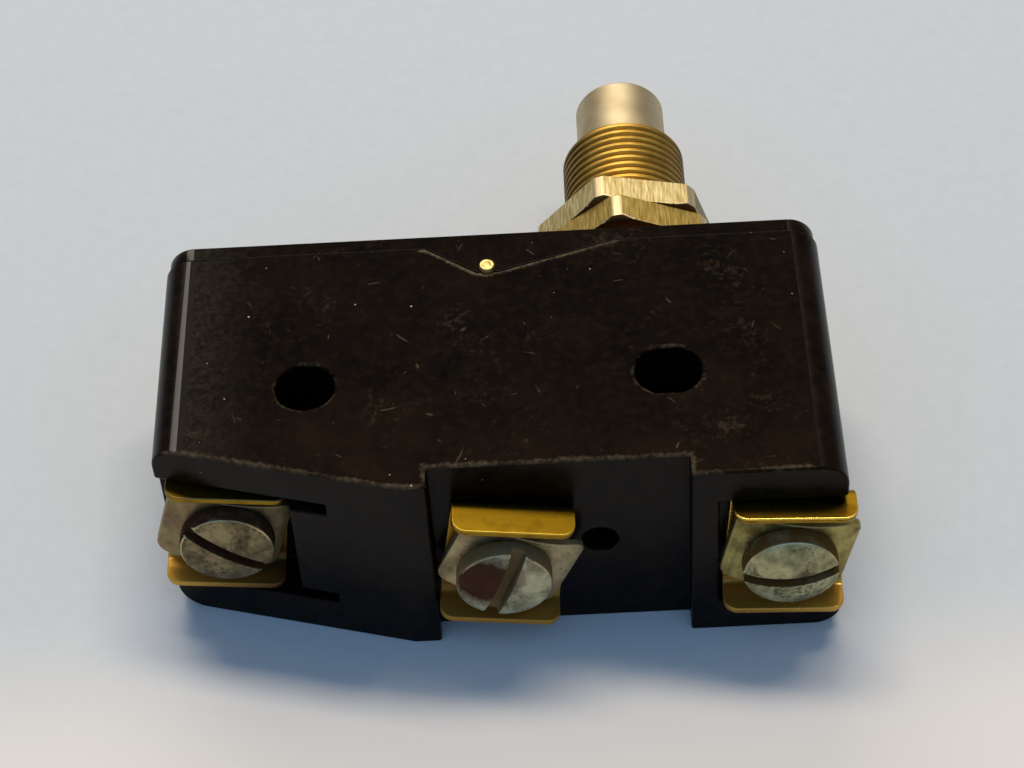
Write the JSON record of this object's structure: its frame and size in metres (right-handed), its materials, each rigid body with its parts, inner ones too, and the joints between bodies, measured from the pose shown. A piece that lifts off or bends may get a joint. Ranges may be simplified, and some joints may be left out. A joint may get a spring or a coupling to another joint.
{
  "type": "pushbutton snap-action switch",
  "caption": "Panel-mounted pushbutton snap-action switch in a phenolic case, with screw terminals in brass cups and side mounting holes.",
  "frame": {"origin": "midway between the two side mounting holes, on the lower side face", "axes": "+X along the case towards the button end, +Y the way the button comes out, +Z through the thickness, up from the side face that it lies on"},
  "size_m": [0.0496, 0.0484, 0.0178],
  "materials": {
    "phenolic": "dusty dark brown-black moulded phenolic",
    "thread_brass": "turned brass with dark tarnish in the thread",
    "nut_brass": "pale machined brass",
    "cup_brass": "smooth bright yellow brass",
    "nickel_silver": "warm silvery turned metal with fine streaks",
    "dull_steel": "stained dull plated steel",
    "spring_steel": "bare spring wire",
    "spring_copper": "rolled beryllium copper",
    "contact_silver": "silver contact metal",
    "pin_laminate": "brown moulded phenolic"
  },
  "bodies": {
    "housing": {"case": "phenolic", "cover": "phenolic", "cover_pin": "cup_brass", "bushing": "thread_brass", "lower_nut": "nut_brass", "upper_nut": "nut_brass", "return_spring": "spring_steel", "spring_anchor": "thread_brass", "common_insert": "thread_brass", "open_insert": "thread_brass", "closed_insert": "thread_brass", "open_strip": "cup_brass", "closed_strip": "cup_brass", "open_contact": "contact_silver", "closed_contact": "contact_silver", "common_cup": "cup_brass", "open_cup": "cup_brass", "closed_cup": "cup_brass", "common_washer": "dull_steel", "open_washer": "dull_steel", "closed_washer": "dull_steel", "common_screw": "dull_steel", "open_screw": "dull_steel", "closed_screw": "dull_steel"},
    "button": {"push_button": "nickel_silver", "stem_clip": "spring_steel", "overtravel_spring": "spring_steel"},
    "plunger_pin": {"actuating_pin": "pin_laminate"},
    "blade": {"snap_blade": "spring_copper", "moving_contact": "contact_silver"}
  },
  "joints": [
    {"name": "button_slide", "type": "slide", "parent": "housing", "child": "button", "axis": [0, -1, 0], "range_m": [0, 0.0055], "stiffness_N_per_m": 700, "springref_m": -0.003, "deforming": ["return_spring", "overtravel_spring"]},
    {"name": "pin_slide", "type": "slide", "parent": "housing", "child": "plunger_pin", "axis": [0, -1, 0], "range_m": [0, 0.000605]},
    {"name": "blade_snap", "type": "hinge", "parent": "housing", "child": "blade", "pos_m": [-0.0146, 0.007, 0.00873], "axis": [0, 0, -1], "range_deg": [0, 1.36]}
  ],
  "couplings": [
    {"joint": "pin_slide", "follows": "button_slide", "ratio": 0.1093},
    {"joint": "blade_snap", "follows": "button_slide", "rad_per_m": 4.288}
  ]
}
